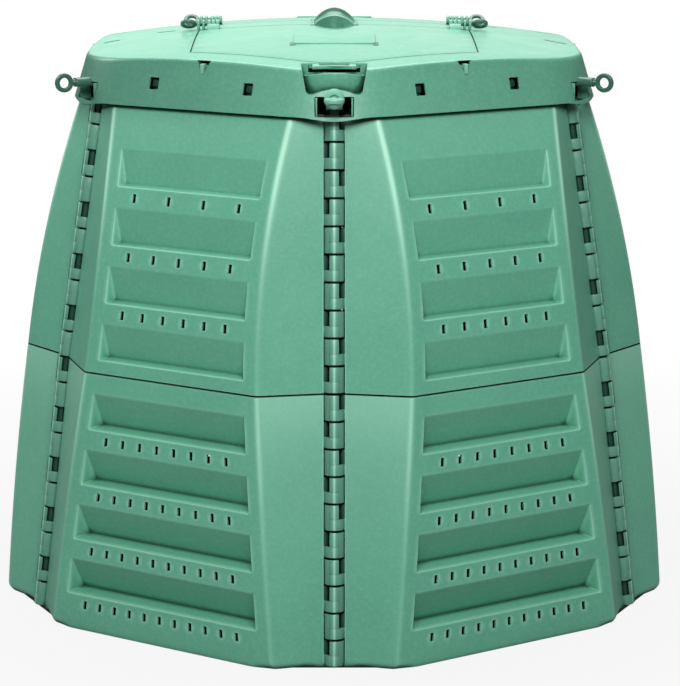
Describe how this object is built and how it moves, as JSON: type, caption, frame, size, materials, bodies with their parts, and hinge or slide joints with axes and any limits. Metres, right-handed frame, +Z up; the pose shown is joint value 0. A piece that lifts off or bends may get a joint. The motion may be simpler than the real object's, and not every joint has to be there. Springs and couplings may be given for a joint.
{
  "type": "compost bin with lid",
  "caption": "Six-sided garden compost bin of louvred plastic panels hinged on rods, with a domed lid that has two hinged filling flaps.",
  "frame": {"origin": "centre of the bounding box at the floor, on the upright axis of the bin", "axes": "+Z up, -Y towards the hinge column that faces the viewer, +X to the viewer's right"},
  "size_m": [1.232, 1.299, 1.072],
  "materials": {
    "body_green": "fine-grained satin moulding",
    "lid_green": "fine-grained satin moulding",
    "dark_green": "smooth satin moulding"
  },
  "bodies": {
    "bin": {"lower_panel_front_right": "body_green", "lower_panel_right": "body_green", "lower_panel_rear_right": "body_green", "lower_panel_rear_left": "body_green", "lower_panel_left": "body_green", "lower_panel_front_left": "body_green", "upper_panel_front_right": "body_green", "upper_panel_right": "body_green", "upper_panel_rear_right": "body_green", "upper_panel_rear_left": "body_green", "upper_panel_left": "body_green", "upper_panel_front_left": "body_green", "lower_rod_front": "dark_green", "lower_rod_right_front": "dark_green", "lower_rod_right_rear": "dark_green", "lower_rod_rear": "dark_green", "lower_rod_left_rear": "dark_green", "lower_rod_left_front": "dark_green", "upper_rod_front": "dark_green", "upper_rod_right_front": "dark_green", "upper_rod_right_rear": "dark_green", "upper_rod_rear": "dark_green", "upper_rod_left_rear": "dark_green", "upper_rod_left_front": "dark_green"},
    "lid": {"lid_frame": "lid_green", "front_finger_cup": "lid_green", "rear_finger_cup": "lid_green", "centre_grip": "lid_green", "hinge_pin_front_right": "dark_green", "hinge_pin_front_left": "dark_green", "hinge_pin_rear_right": "dark_green", "hinge_pin_rear_left": "dark_green"},
    "front_flap": {"front_flap": "lid_green"},
    "rear_flap": {"rear_flap": "lid_green"},
    "turn_lock_pin_front": {"turn_lock_pin_front": "dark_green"},
    "turn_lock_pin_right_front": {"turn_lock_pin_right_front": "dark_green"},
    "turn_lock_pin_right_rear": {"turn_lock_pin_right_rear": "dark_green"},
    "turn_lock_pin_rear": {"turn_lock_pin_rear": "dark_green"},
    "turn_lock_pin_left_rear": {"turn_lock_pin_left_rear": "dark_green"},
    "turn_lock_pin_left_front": {"turn_lock_pin_left_front": "dark_green"}
  },
  "joints": [
    {"name": "lid_lift", "type": "slide", "parent": "bin", "child": "lid", "axis": [0, 0, 1], "range_m": [0, 0.12]},
    {"name": "front_flap_hinge", "type": "hinge", "parent": "lid", "child": "front_flap", "pos_m": [0, -0.047, 1.04515], "axis": [-1, 0, 0], "range_deg": [0, 95]},
    {"name": "rear_flap_hinge", "type": "hinge", "parent": "lid", "child": "rear_flap", "pos_m": [0, 0.047, 1.04515], "axis": [1, 0, 0], "range_deg": [0, 95]},
    {"name": "turn_lock_front", "type": "hinge", "parent": "lid", "child": "turn_lock_pin_front", "pos_m": [0, -0.5, 0.96], "axis": [0, -1, 0], "range_deg": [0, 90]},
    {"name": "turn_lock_right_front", "type": "hinge", "parent": "lid", "child": "turn_lock_pin_right_front", "pos_m": [0.43301, -0.25, 0.96], "axis": [0.866, -0.5, 0], "range_deg": [0, 90]},
    {"name": "turn_lock_right_rear", "type": "hinge", "parent": "lid", "child": "turn_lock_pin_right_rear", "pos_m": [0.43301, 0.25, 0.96], "axis": [0.866, 0.5, 0], "range_deg": [0, 90]},
    {"name": "turn_lock_rear", "type": "hinge", "parent": "lid", "child": "turn_lock_pin_rear", "pos_m": [0, 0.5, 0.96], "axis": [0, 1, 0], "range_deg": [0, 90]},
    {"name": "turn_lock_left_rear", "type": "hinge", "parent": "lid", "child": "turn_lock_pin_left_rear", "pos_m": [-0.43301, 0.25, 0.96], "axis": [-0.866, 0.5, 0], "range_deg": [0, 90]},
    {"name": "turn_lock_left_front", "type": "hinge", "parent": "lid", "child": "turn_lock_pin_left_front", "pos_m": [-0.43301, -0.25, 0.96], "axis": [-0.866, -0.5, 0], "range_deg": [0, 90]}
  ]
}
